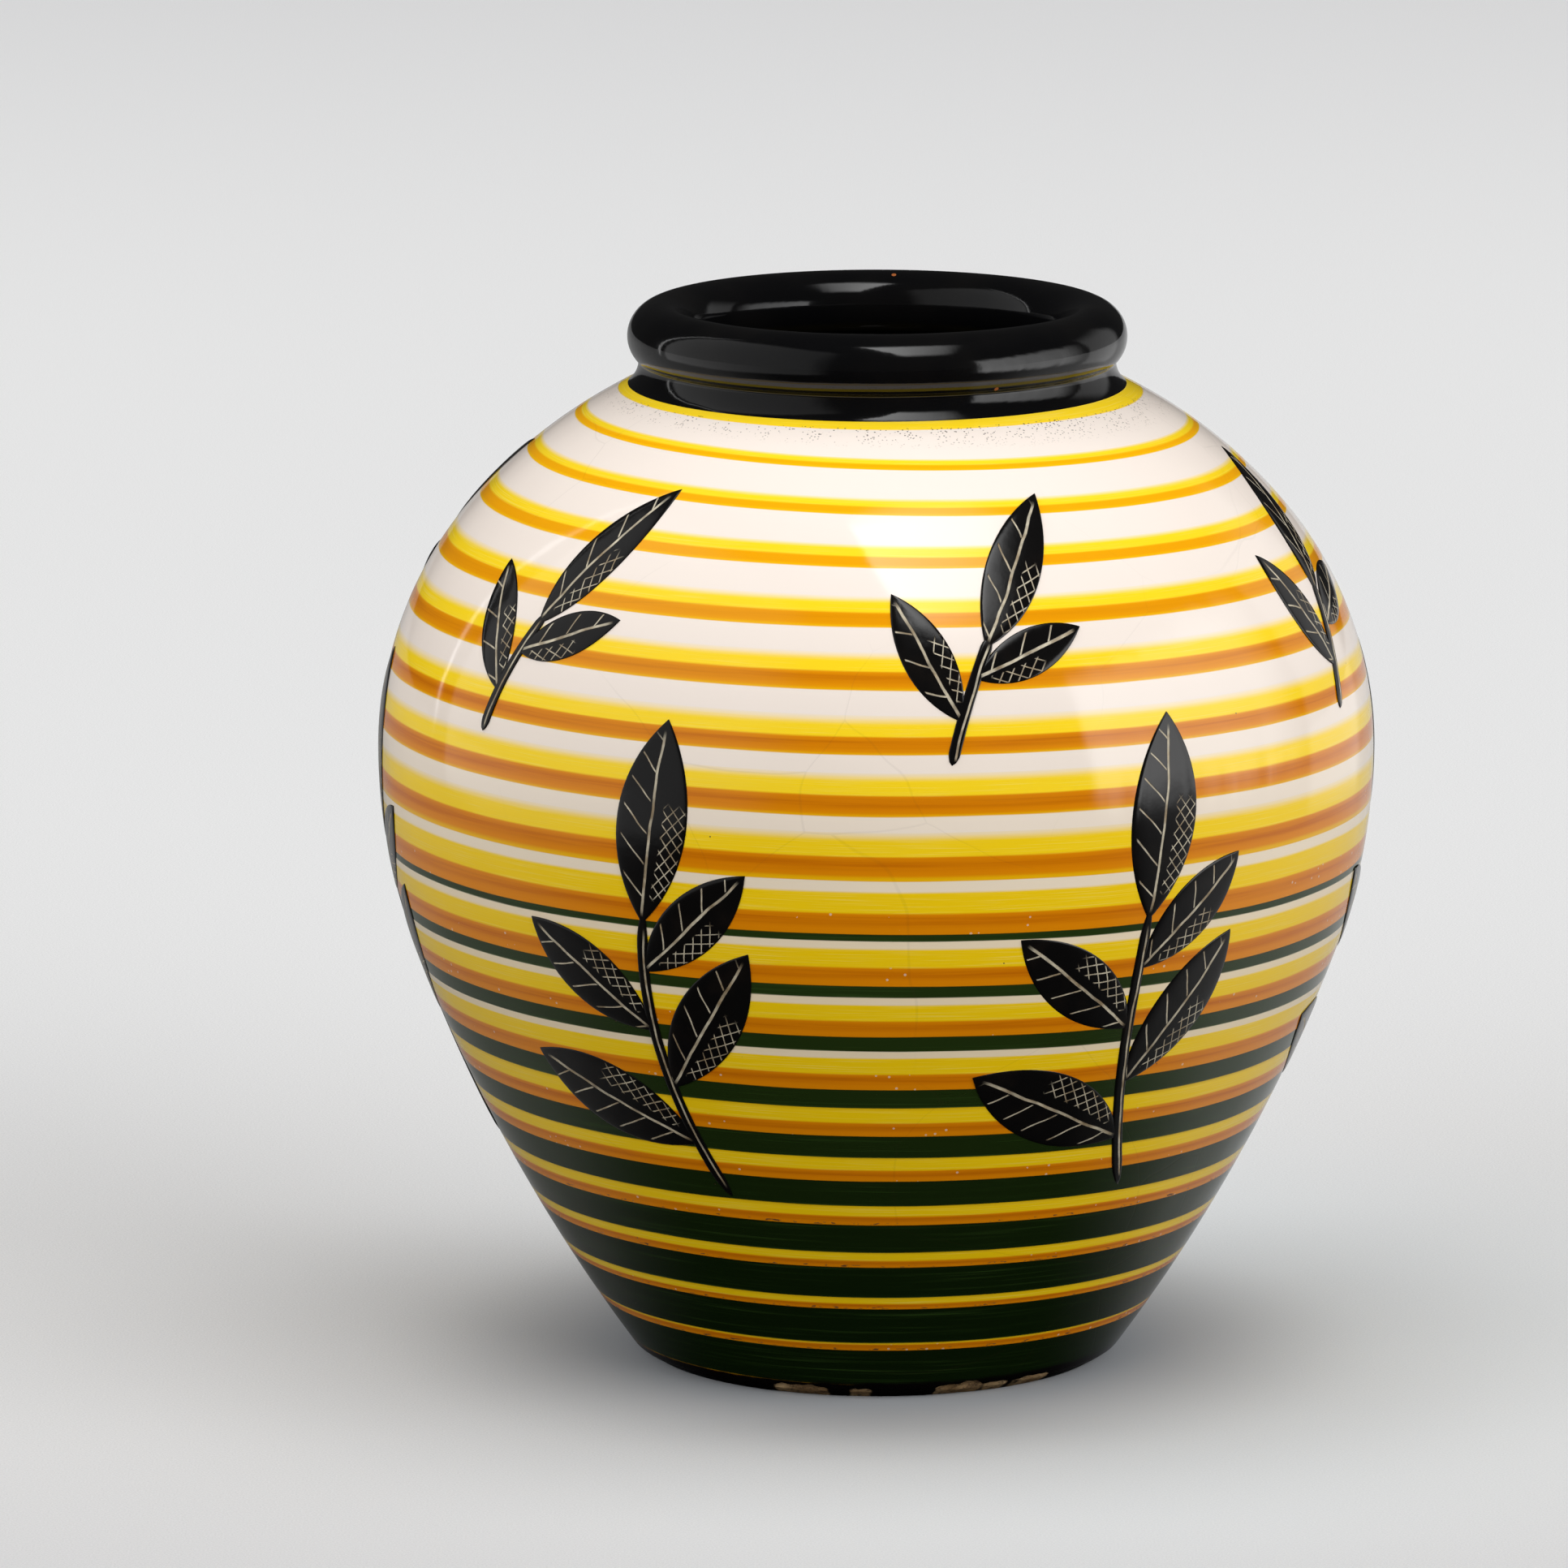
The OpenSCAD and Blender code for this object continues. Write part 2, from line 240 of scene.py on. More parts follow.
vaseH = cadBox[1].z * 1000
rollR = rim["roll"]
rollC = np.array([rim["radius"] - rollR, vaseH - rollR])
waistR = rim["radius"] - rim["creaseIn"]
creaseH = rollC[1] - math.sqrt(rollR ** 2 - (rollR - rim["creaseIn"]) ** 2)
neckH = creaseH - rim["rise"]
neckR = waistR + rim["flare"]
seatH = rollC[1] - math.sqrt((rollR - body["coat"]) ** 2 - (rollR - rim["creaseIn"] - body["coat"]) ** 2)


def tangentArcs(run, rise, a, b):
    # radii of two tangent arcs that start upright, meet at lean a and end at lean b
    turn = (1 - math.cos(a)) * (math.sin(b) - math.sin(a)) - (math.cos(a) - math.cos(b)) * math.sin(a)
    first = (run * (math.sin(b) - math.sin(a)) - rise * (math.cos(a) - math.cos(b))) / turn
    second = ((1 - math.cos(a)) * rise - math.sin(a) * run) / turn
    return first, second


def halfWall(run, rise, breakAt, flat):
    # the two arcs on one side of the widest line: leans and radii
    mean = math.atan2(run, rise)
    a = breakAt * mean
    b = mean + (math.pi / 2 - mean) * flat
    return a, b, *tangentArcs(run, rise, a, b)


bowlA, bowlB, bowlR, lowR = halfWall(body["bellyR"] - body["footR"], body["bellyH"], body["bowlBreak"],
                                     body["bowlFlat"])
domeA, domeB, domeR, topR = halfWall(body["bellyR"] - neckR, neckH - body["bellyH"], body["domeBreak"],
                                     body["domeFlat"])
arcR = np.array([lowR, bowlR, domeR, topR])
arcFrom = np.array([-bowlB, -bowlA, 0, domeA])  # lean of the wall's normal where each arc starts
arcTo = np.array([-bowlA, 0, domeA, domeB])
bowlX = body["bellyR"] - bowlR
domeX = body["bellyR"] - domeR
arcX = np.array([bowlX - (lowR - bowlR) * math.cos(bowlA), bowlX, domeX,
                 domeX - (topR - domeR) * math.cos(domeA)])
arcZ = np.array([body["bellyH"] + (lowR - bowlR) * math.sin(bowlA), body["bellyH"], body["bellyH"],
                 body["bellyH"] - (topR - domeR) * math.sin(domeA)])
arcEnd = np.cumsum(arcR * (arcTo - arcFrom))
arcStart = arcEnd - arcR * (arcTo - arcFrom)
wallLen = float(arcEnd[-1])


def wallAt(s, inset=0.0):
    # radius, height and lean at a distance s up the wall from the foot, on a face set in from the glaze
    s = np.asarray(s, float)
    arc = np.searchsorted(arcEnd[:-1], s)
    lean = arcFrom[arc] + (s - arcStart[arc]) / arcR[arc]
    reach = arcR[arc] - inset
    return arcX[arc] + reach * np.cos(lean), arcZ[arc] + reach * np.sin(lean), lean


def ringAt(z):
    # radius and lean of the wall at a height z
    arc = np.searchsorted((arcZ + arcR * np.sin(arcTo))[:-1], z)
    lean = np.arcsin((z - arcZ[arc]) / arcR[arc])
    return arcX[arc] + arcR[arc] * np.cos(lean), lean


def around(r, z, angle):
    # points at radius r and height z, turned round the axis from the front
    r, z, angle = np.broadcast_arrays(r, z, angle)
    return np.stack([r * np.sin(angle), -r * np.cos(angle), z], -1)


def turnAngles(columns):
    # even angles round the axis, from the front
    return np.arange(columns) * (2 * math.pi / columns)


def ease(x):
    # smooth step from 0 to 1: x squared times 3 - 2x
    x = np.clip(x, 0, 1)
    return x * x * (3 - 2 * x)


def arcPoints(centre, radius, start, end, count):
    # points on a circle from one angle to another, in degrees
    t = np.radians(np.linspace(start, end, count))
    return np.stack([centre[0] + radius * np.cos(t), centre[1] + radius * np.sin(t)], -1)


def degreesTo(centre, point):
    # direction of a point seen from a centre, in degrees up from level
    return math.degrees(math.atan2(point[1] - centre[1], point[0] - centre[0]))


# Glazed body: the white ground and its painted bands, one coat from the foot to the neck
coat = dict(columns=400, rows=158, innerRows=24, edgeZ=1.7, noseRows=10, noseTop=6.0, nose=0.18, noseFade=0.3,
            swell=0.05, swellTurns=3, swellStep=35.0, rings=0.008, ringStep=9.0, ringTurns=2, settle=8.0)
# Chips: spans from and to in degrees with a share, waves as height, radians per degree and start
chips = dict(spans=((-27, -9, 1.0), (-9, 0, 0.95), (12, 27, 1.35), (23, 46, 0.8)),
             waves=((0.2, 0.31, 1), (0.14, 0.83, 2), (0.1, 1.9, 0)),
             level=0.62, soft=4.0, rise=1.5, fade=2.0)
hand = dict(tilt=0.0114, tiltFade=10.0, leanFrom=183.0, leanOver=28.0,  # places and lengths in mm up the wall
            shift=0.6, top=226.0, topFade=14.0, low=18.0, lowFade=12.0,
            bells=((0.45, 118.0, 16.0), (-0.9, 163.0, 8.0)))  # height, place, half width


def chipAt(angle):
    # how far the glaze has flaked off the foot round the vase: a few spans with a ragged top
    degrees = np.degrees((angle + math.pi) % (2 * math.pi) - math.pi)
    ragged = chips["level"]
    for height, rate, start in chips["waves"]:
        ragged = ragged + height * np.sin(rate * degrees + start)
    window = [share * ease((degrees - a) / chips["soft"]) * ease((b - degrees) / chips["soft"])
              for a, b, share in chips["spans"]]
    return np.max(window, axis=0) * ragged


def handShift(s):
    # how far the painter set the bands above an even spacing: a steady part, faded at both ends, and bell curves
    ends = ease((hand["top"] - s) / hand["topFade"]) * ease((s - hand["low"]) / hand["lowFade"])
    shift = hand["shift"] * ends
    for height, place, half in hand["bells"]:
        shift = shift + height * np.exp(-((s - place) / half) ** 2)
    return shift


def handTilt(s, x, lean):
    # how far the bands sink to the right: in step with x, more over the shoulder and level again at the neck
    level = np.clip((wallLen - s) / hand["tiltFade"], 0, 1)
    return hand["tilt"] * x / np.cos(lean) * level * (1 + ease((s - hand["leanFrom"]) / hand["leanOver"]))


def bodyCoat(material):
    # s(row, angle) runs up the outside and down the inside; r, z = wall(s) set in by a slight swell
    angle = turnAngles(coat["columns"])[None, :]
    edge = coat["edgeZ"] / math.cos(bowlB)
    outside = np.concatenate([np.linspace(edge, coat["noseTop"], coat["noseRows"], endpoint=False),
                              np.linspace(coat["noseTop"], wallLen, coat["rows"])])
    inside = np.linspace(wallLen, edge, coat["innerRows"])
    s = np.concatenate([outside, inside])[:, None]
    s = s + chips["rise"] * chipAt(angle) * np.exp(-(s - edge) / chips["fade"])
    s = np.minimum(s, wallLen)
    isOut = (np.arange(len(s)) < len(outside))[:, None]
    settle = np.clip((wallLen - s) / coat["settle"], 0, 1)
    swell = coat["swell"] * (1 + np.sin(coat["swellTurns"] * angle + s / coat["swellStep"])) * settle
    rings = 1 + np.sin(2 * math.pi * s / coat["ringStep"] + coat["ringTurns"] * angle)
    swell = swell + coat["rings"] * rings * settle
    nose = coat["nose"] * np.exp(-(s - s[:1]) / coat["noseFade"])
    r, z, lean = wallAt(s, np.where(isOut, swell + nose, body["coat"]))
    points = around(r, z, angle)
    down = wallLen - (s + handTilt(s, points[..., 0], lean) - handShift(s))
    makePiece("body_glaze", [skin(points, True, down=down)], material, "white_glaze",
              "white_glaze", "yellow_bands", "orange_bands", "green_bands")


# Painted bands: widths in mm along the wall, counted from 0 under the neck
bands = dict(pitch=11.8, gain=0.05, lineW=2.8, narrowW=2.5, narrowGain=1.0, narrowLast=3, warmW=4.0,
             warmGain=0.7, greenFrom=9, greenW=1.5, greenGain=1.0, gap=1.4, lowGap=0.15, gapLast=11,
             yellowShare=0.52, last=18, lastLess=0.4)
# Strokes: wander and soft edges in mm, the bands between which a tone changes, streaks per metre and per mm down
brush = dict(wander=0.7, drag=0.35, topFrom=0.4, topSoft=1.65, greenTop=1.3, narrowTop=0.9, chanceTop=0.5,
             orangeEdge=(-0.25, 0.3), greenEdge=(-0.1, 0.14), lowEdge=(-0.12, 0.16), wash=(-0.9, 0.1),
             washShare=0.55, leafEdge=(-0.5, -0.05), orangeDeepens=(0.5, 7), brownComes=(3, 6),
             yellowDulls=(6.5, 9.5), whiteWarms=(5, 10), greenDeepens=(9, 17),
             wanderStep=18, streaks=(26, 1.6), fineStreaks=(60, 5),
             brownFrom=(0.05, 0.3), brownTo=(0.8, 0.4), brownStreak=(0.3, 0.7), brownLeast=0.25, brownMore=0.5,
             paleStreak=(0.5, 0.75), paleShare=0.3, leafStreak=(0.52, 0.8), leafShare=0.4,
             edgeStreak=(0.4, 0.6), edgeShare=0.6)
# Wear: how much of the coat is marked, as sizes and shares, and where the dark sole ends in mm
wear = dict(flakes=0.6, flakeStreaks=(500, 1.4), flakeW=(0.32, 0.2), flakesFrom=14.5, flakeAt=0.35,
            dust=0.12, dustStep=420, dustPatch=60, dusty=0.52, dustShare=0.55, pins=0.02, pinStep=115, pinned=0.45,
            specks=0.27, speckStep=1500, speckPatch=260, specked=0.48, speckFrom=2.2, speckFade=(9.5, 3.5),
            markShare=0.85, craze=(0.0045, 0.0015), crazeStep=24, crazePatch=14, crazed=(0.5, 0.62),
            crazeShare=0.07, crazeSway=0.02, swayStep=30, sole=(4.6, 3.4), soleStep=120, soleSway=1.6)
# Surface: roughness as shares, relief as shares, bumps as strength and height in metres
gloss = dict(rough=0.045, patchy=0.05, patchStep=70, worn=0.3, streakUp=0.12, paintUp=0.15, markDown=0.5,
             crazeDown=0.2, rippleStep=26, ripple=(0.12, 0.004), relief=(0.35, 0.00012))
paint = dict(white=srgb(241, 229, 219), cream=srgb(238, 220, 188), lemon=srgb(253, 216, 34),
             yellow=srgb(244, 204, 16), dullYellow=srgb(228, 186, 20), paleYellow=srgb(248, 226, 130),
             orange=srgb(247, 176, 6), deepOrange=srgb(222, 134, 6), brown=srgb(188, 95, 4),
             green=srgb(36, 52, 18), deepGreen=srgb(15, 28, 8), leafGreen=srgb(54, 80, 34),
             black=srgb(8, 6, 6), speck=srgb(60, 44, 34), dust=srgb(226, 214, 190))


def bandedGlaze():
    material, place = startMaterial("banded glaze")
    xyz = place.node("ShaderNodeSeparateXYZ", {}, {0: place})
    x, y, z = xyz, xyz.part(1), xyz.part(2)
    down = place.attribute("down")

    def streaks(across, along):  # coordinates drawn out round the vase
        return place.join(x * across, y * across, down * along)

    wander = place.noise(brush["wanderStep"], 1) - 0.5
    d = (down + wander * brush["wander"]).most(0.02)
    streak = streaks(*brush["streaks"]).noise(1, 3, 0.6)
    fine = streaks(*brush["fineStreaks"]).noise(1, 2)

    # band number and the distance under its top: D(k) = k (pitch + gain (k - 1) / 2)
    half = bands["pitch"] - bands["gain"] / 2
    k = (((d * (2 * bands["gain"]) + half * half).math("SQRT") - half) / bands["gain"]).math("FLOOR")
    under = d - k * (k * (bands["gain"] / 2) + half) + (streak - 0.5) * brush["drag"]
    chance = place.node("ShaderNodeTexWhiteNoise", {"noise_dimensions": "1D"}, {"W": k}, "Value")

    isLine = k.below(0.5)
    isNarrow = k.below(bands["narrowLast"] + 0.5)
    isLast = k.above(bands["last"] - 0.5)
    hasGreen = k.above(bands["greenFrom"] - 0.5)
    green = (k * bands["greenGain"] + (bands["greenW"] - bands["greenGain"] * bands["greenFrom"])).most(0)
    gap = k.below(bands["gapLast"] + 0.5) * (bands["gap"] - bands["lowGap"]) + bands["lowGap"]
    spare = k * bands["gain"] + bands["pitch"] - gap - green
    warm = spare.least(k * bands["warmGain"] + bands["warmW"])
    warm = warm + isNarrow * (k * bands["narrowGain"] + bands["narrowW"] - warm)
    warm = warm + isLine * (bands["lineW"] - warm)
    yellow = warm * (isLine * (1 - bands["yellowShare"]) - isLast * bands["lastLess"] + bands["yellowShare"])

    softTo = brush["topSoft"] - hasGreen * brush["greenTop"] - isNarrow * brush["narrowTop"]
    softTo = softTo + chance * brush["chanceTop"]
    intoYellow = under.fade(hasGreen * brush["topFrom"] - brush["topFrom"], softTo)
    intoOrange = (under - yellow).fade(*brush["orangeEdge"])
    intoGreen = (under - warm).fade(*brush["greenEdge"]) * hasGreen
    intoWhite = (under - warm - green).fade(*brush["lowEdge"])
    fringe = (under - warm).fade(*brush["wash"]) * (1 - hasGreen)  # thin wash at the foot of the upper strokes
    across = (under - yellow) / (warm - yellow)

    orange = k.fade(*brush["orangeDeepens"]).mix(paint["orange"], paint["deepOrange"])
    line = across.fade(*brush["brownFrom"]) * across.fade(*brush["brownTo"])
    line = line * (streak.fade(*brush["brownStreak"]) * brush["brownMore"] + brush["brownLeast"])
    orange = (line * k.fade(*brush["brownComes"])).mix(orange, paint["brown"])
    orange = (fringe * brush["washShare"]).mix(orange, paint["yellow"])
    yellowTone = k.fade(*brush["yellowDulls"]).mix(paint["lemon"], paint["yellow"])
    yellowTone = (fine.fade(*brush["paleStreak"]) * brush["paleShare"]).mix(yellowTone, paint["paleYellow"])
    white = k.fade(*brush["whiteWarms"]).mix(paint["white"], paint["cream"])
    greenTone = k.fade(*brush["greenDeepens"]).mix(paint["green"], paint["deepGreen"])
    greenTone = (streak.fade(*brush["leafStreak"]) * brush["leafShare"]).mix(greenTone, paint["leafGreen"])
    edge = (under - warm - green).fade(*brush["leafEdge"]) * fine.fade(*brush["edgeStreak"])
    greenTone = (edge * brush["edgeShare"]).mix(greenTone, paint["leafGreen"])
    # the lower gaps are washed with yellow
    over = k.above(bands["gapLast"] + 1.5).mix(white, paint["dullYellow"])
    beneath = k.above(bands["gapLast"] + 0.5).mix(white, paint["dullYellow"])
    tone = intoYellow.most(isLine).mix(over, yellowTone)
    tone = intoOrange.mix(tone, orange)
    tone = intoGreen.mix(tone, greenTone)
    tone = (intoWhite * (1 - isLast)).mix(tone, beneath)

    # dark flakes where the lowest orange strokes chipped, pale dust on the orange, pinholes and neck specks
    flakes = streaks(*wear["flakeStreaks"]).noise(1, 3, 0.65).above(wear["flakes"])
    flakes = flakes * (under - warm + wear["flakeAt"]).size().fade(*wear["flakeW"])
    flakes = flakes * k.above(wear["flakesFrom"])
    dust = place.cells(wear["dustStep"]).below(wear["dust"])
    dust = dust * place.noise(wear["dustPatch"], 1).above(wear["dusty"])
    dust = dust * intoOrange * (1 - intoGreen) * hasGreen
    pin = place.cells(wear["pinStep"]).below(wear["pins"])
    pin = pin * place.cells(wear["pinStep"], "F1", "Color").above(wear["pinned"])
    specks = place.cells(wear["speckStep"]).below(wear["specks"])
    specks = specks * place.noise(wear["speckPatch"], 3, 0.7).above(wear["specked"])
    specks = specks * down.fade(*wear["speckFade"]) * under.above(wear["speckFrom"])
    marks = flakes.most(pin).most(specks)
    tone = (dust * wear["dustShare"]).mix(tone, paint["dust"])
    tone = (marks * wear["markShare"]).mix(tone, paint["speck"])
    swayed = x + (place.noise(wear["swayStep"], 2) - 0.5) * wear["crazeSway"]
    craze = place.join(swayed, y, z).cells(wear["crazeStep"], "DISTANCE_TO_EDGE")
    craze = craze.fade(*wear["craze"]) * place.noise(wear["crazePatch"], 1).fade(*wear["crazed"])
    tone = (craze * wear["crazeShare"]).mix(tone, paint["speck"])
    sole = (z * 1000 + (place.noise(wear["soleStep"], 3) - 0.5) * wear["soleSway"]).fade(*wear["sole"])
    tone = sole.mix(tone, paint["black"])

    rough = place.noise(gloss["patchStep"], 2) * gloss["patchy"] + marks * gloss["worn"] + gloss["rough"]
    height = (streak - 0.5) * gloss["streakUp"] + (intoYellow * (1 - intoWhite)) * gloss["paintUp"]
    height = height - marks * gloss["markDown"] - craze * gloss["crazeDown"]
    ripple = place.noise(gloss["rippleStep"], 2).bump(*gloss["ripple"])
    normal = height.bump(*gloss["relief"], ripple)
    endMaterial(place, Base_Color=tone, Roughness=rough, Normal=normal, IOR=1.5)
    return material


# Black coat: collar, crease and rolled rim
black = dict(tone=srgb(9, 9, 10), olive=srgb(30, 26, 10), copper=srgb(150, 84, 40), veil=srgb(26, 24, 22),
             poolUp=0.6, poolFade=(1.6, 0.3), poolStep=90, poolIn=(0.35, 0.65), poolShare=0.45,
             veilStep=45, veilIn=(0.45, 0.75), veilShare=0.25, dotStep=70, dotSize=0.035, dotted=0.72,
             rough=0.05, patchy=0.08, patchStep=160, dotRough=0.2, rippleStep=32, ripple=(0.14, 0.004),
             grainStep=420, relief=(0.08, 0.0002))


def blackGlaze(name):
    material, place = startMaterial(name)
    z = place.node("ShaderNodeSeparateXYZ", {}, {0: place}, 2) * 1000
    pool = (z - (creaseH + black["poolUp"])).size().fade(*black["poolFade"])
    pool = pool * place.noise(black["poolStep"], 2).fade(*black["poolIn"])
    dots = place.cells(black["dotStep"]).below(black["dotSize"])
    dots = dots * place.cells(black["dotStep"], "F1", "Color").above(black["dotted"])
    veil = place.noise(black["veilStep"], 3).fade(*black["veilIn"])
    tone = (veil * black["veilShare"]).mix(black["tone"], black["veil"])
    tone = (pool * black["poolShare"]).mix(tone, black["olive"])
    tone = dots.mix(tone, black["copper"])
    rough = place.noise(black["patchStep"], 3) * black["patchy"] + dots * black["dotRough"] + black["rough"]
    ripple = place.noise(black["rippleStep"], 2).bump(*black["ripple"])
    normal = (place.noise(black["grainStep"], 2) - dots).bump(*black["relief"], ripple)
    endMaterial(place, Base_Color=tone, Roughness=rough, Normal=normal, IOR=1.5)
    return material


def circlesMeet(c0, r0, c1, r1):
    # the lower of the two points where two circles cross
    gap = c1 - c0
    dist = math.hypot(*gap)
    along = (dist ** 2 + r0 ** 2 - r1 ** 2) / (2 * dist)
    off = math.sqrt(r0 ** 2 - along ** 2) * np.array([-gap[1], gap[0]]) / dist
    ends = [c0 + gap * along / dist + off, c0 + gap * along / dist - off]
    return min(ends, key=lambda p: p[1])


def rimCoat(material):
    # profile: hollow collar, a pool of glaze in the crease, over the roll and back along the clay
    t = body["coat"]
    coveR = (rim["flare"] ** 2 + rim["rise"] ** 2) / (2 * rim["flare"])
    coveC = np.array([waistR + coveR, creaseH])
    pool = rim["pool"]
    poolC = circlesMeet(coveC, coveR - pool, rollC, rollR + pool)
    onCove = coveC + (poolC - coveC) * coveR / (coveR - pool)
    onRoll = rollC + (poolC - rollC) * rollR / (rollR + pool)
    throatTop = seatH - t
    throatR = waistR - t - rim["collar"]
    lipAngle = 180 + math.degrees(math.asin((rollC[1] - throatTop) / rollR))
    seatAngle = math.degrees(math.asin((rollC[1] - seatH) / (rollR - t)))
    baseAngle = math.degrees(math.asin(rim["rise"] / coveR)) - 180
    backAngle = math.degrees(math.asin(rim["rise"] / (coveR + t))) - 180
    profile = np.concatenate([
        arcPoints(coveC, coveR, baseAngle, degreesTo(coveC, onCove) % -360, rim["coveRows"]),
        arcPoints(poolC, pool, degreesTo(poolC, onCove) % 360, degreesTo(poolC, onRoll), rim["poolRows"])[1:],
        arcPoints(rollC, rollR, degreesTo(rollC, onRoll), lipAngle, rim["rollRows"])[1:],
        [[throatR, throatTop], [throatR, seatH]],
        arcPoints(rollC, rollR - t, 180 + seatAngle, -seatAngle, rim["underRows"]),
        arcPoints(coveC, coveR + t, -180, backAngle, rim["backRows"])])
    points = around(profile[:, :1], profile[:, 1:], turnAngles(rim["columns"])[None, :])
    makePiece("rim_glaze", [skin(points, True)], material, "black_glaze", "black_glaze")


# Lining: a dark coat on the inside, from the throat down to the floor
lining = dict(coat=0.4, floorZ=14.0, cove=14.0, columns=200, baseRows=12, coveRows=14, wallRows=70)


def liningPath(coatT):
    # floor from the axis, cove, inner wall and throat, on a face that stands coatT off the clay
    inset = body["coat"] + body["wall"] + coatT
    cove = lining["cove"] - coatT
    bottom = lining["floorZ"] + coatT
    face = lowR - inset
    coveX = arcX[0] + math.sqrt((face - cove) ** 2 - (bottom + cove - arcZ[0]) ** 2)
    touch = math.atan2(bottom + cove - arcZ[0], coveX - arcX[0])
    throatR = waistR - body["coat"] - rim["collar"] - coatT
    throatLean = math.acos((throatR - arcX[3]) / (topR - inset))
    sEnd = arcStart[3] + (throatLean - arcFrom[3]) * topR
    s = np.linspace((touch - arcFrom[0]) * lowR, sEnd, lining["wallRows"])
    wall = np.stack(wallAt(s, inset)[:2], -1)
    base = np.stack([np.linspace(0, coveX, lining["baseRows"]), np.full(lining["baseRows"], bottom)], -1)
    bend = arcPoints((coveX, bottom + cove), cove, -90, math.degrees(touch), lining["coveRows"])
    return np.concatenate([base, bend[1:], wall[1:], [[throatR, seatH - body["coat"]]]])


def liningCoat(material):
    # profile: up the clay from the axis to the throat, and back down the face of the coat
    profile = np.concatenate([liningPath(0), liningPath(lining["coat"])[::-1]])
    points = around(profile[:, :1], profile[:, 1:], turnAngles(lining["columns"])[None, :])
    makePiece("lining_glaze_coat", [skin(points, False)], material, "lining_glaze", "lining_glaze")


# Foot: bare clay ring with a worn bevel, stained dark where the glaze has not flaked off
foot = dict(height=5.5, width=10.0, bevel=1.5, columns=480, step=0.5, wear=0.5, wornIn=6.0, bareIn=6.5,
            soft=2.0, wornTop=4.0, wornFade=1.5,
            lumps=((0.3, 9, 2), (0.2, 41, -3)))  # share, waves in a turn, radians per mm up
clayTones = dict(tan=srgb(118, 92, 60), pale=srgb(172, 146, 108), dark=srgb(52, 37, 24), stain=srgb(10, 8, 8),
                 darkShare=0.8, stained=(0.42, 0.22), stainStep=400, stainSway=0.5, stainGloss=0.45,
                 grainStep=700, grainIn=(0.48, 0.66), patchStep=90, patchIn=(0.35, 0.7), patchUp=0.5,
                 rough=0.75, grainRough=0.15, relief=(0.5, 0.0006))


def traced(corners, step):
    # points along a closed outline, no further apart than step
    corners = np.asarray(corners, float)
    after = np.roll(corners, -1, 0)
    runs = [np.linspace(a, b, max(2, int(math.dist(a, b) / step) + 1), endpoint=False)
            for a, b in zip(corners, after)]
    return np.concatenate(runs)


def footRing(material):
    # outline of the ring turned round the axis, pushed in where it is chipped
    angle = turnAngles(foot["columns"])[None, :]

    def edgeAt(z):
        return arcX[0] + math.sqrt((lowR - body["coat"]) ** 2 - (z - arcZ[0]) ** 2)

    inner = edgeAt(0) - foot["width"]
    outline = traced([[inner, 0], [edgeAt(0) - foot["bevel"], 0], [edgeAt(foot["bevel"]), foot["bevel"]],
                      [edgeAt(foot["height"]), foot["height"]], [inner, foot["height"]]], foot["step"])
    r, z = outline[:, :1], outline[:, 1:]
    chip = chipAt(angle)
    atEdge = ease((r - inner - foot["wornIn"]) / foot["soft"]) * ease((foot["wornTop"] - z) / foot["wornFade"])
    lumpy = 0.5
    for height, turns, rise in foot["lumps"]:
        lumpy = lumpy + height * np.sin(turns * angle + rise * z)
    points = around(r - foot["wear"] * chip * atEdge * lumpy, z, angle)
    bare = np.maximum(chip, ease((inner + foot["bareIn"] - r) / foot["soft"]))
    makePiece("foot_clay", [skin(points, True, bare=bare)], material, "clay", "foot_ring")


def bareClay(name, stained):
    # open, sandy earthenware; the foot's has a dark stain where its bare attribute is low
    material, place = startMaterial(name)
    grain = place.noise(clayTones["grainStep"], 4, 0.7)
    patch = place.noise(clayTones["patchStep"], 3)
    tone = patch.fade(*clayTones["patchIn"]).mix(clayTones["tan"], clayTones["pale"])
    tone = (grain.fade(*clayTones["grainIn"]) * clayTones["darkShare"]).mix(tone, clayTones["dark"])
    rough = grain * clayTones["grainRough"] + clayTones["rough"]
    if stained:
        ragged = (place.noise(clayTones["stainStep"], 3) - 0.5) * clayTones["stainSway"]
        stain = (place.attribute("bare") + ragged).fade(*clayTones["stained"])
        tone = stain.mix(tone, clayTones["stain"])
        rough = rough - stain * clayTones["stainGloss"]
    normal = (grain + patch * clayTones["patchUp"]).bump(*clayTones["relief"])
    endMaterial(place, Base_Color=tone, Roughness=rough, Normal=normal)
    return material


# Leaf sprigs in raised black slip: two rows, with lines scratched through to the ground
sprigs = dict(
    belly=dict(first=-22, z=48, tilt=26, stalk=64, pairs=2, leaf=42),
    shoulder=dict(first=8, z=142, tilt=-14, stalk=26, pairs=1, leaf=30),
    count=6, rise=0.28, sunk=0.3, bend=110.0, stalkW=2.4, endShare=1 / 12, plump=0.37, taper=0.3, lean=46,
    square=6, thin=1.2, rows=44, top=22, under=8, seed=12)
slipTones = dict(black=srgb(13, 12, 12), brown=srgb(30, 24, 20), cream=srgb(206, 196, 172),
                 tan=srgb(150, 130, 100), brownStep=130, brownIn=(0.5, 0.8), brownShare=0.35,
                 groundStep=240, groundIn=(0.35, 0.7),
                 rough=0.07, patchy=0.1, patchStep=150, scratchRough=0.4, grainStep=380, grainUp=0.25,
                 scratchDown=0.8, relief=(0.45, 0.00022), rippleStep=60, ripple=(0.15, 0.002))


def turned(points, degrees):
    # points of a drawing turned anticlockwise
    c, s = math.cos(math.radians(degrees)), math.sin(math.radians(degrees))
    return points @ np.array([[c, s], [-s, c]])


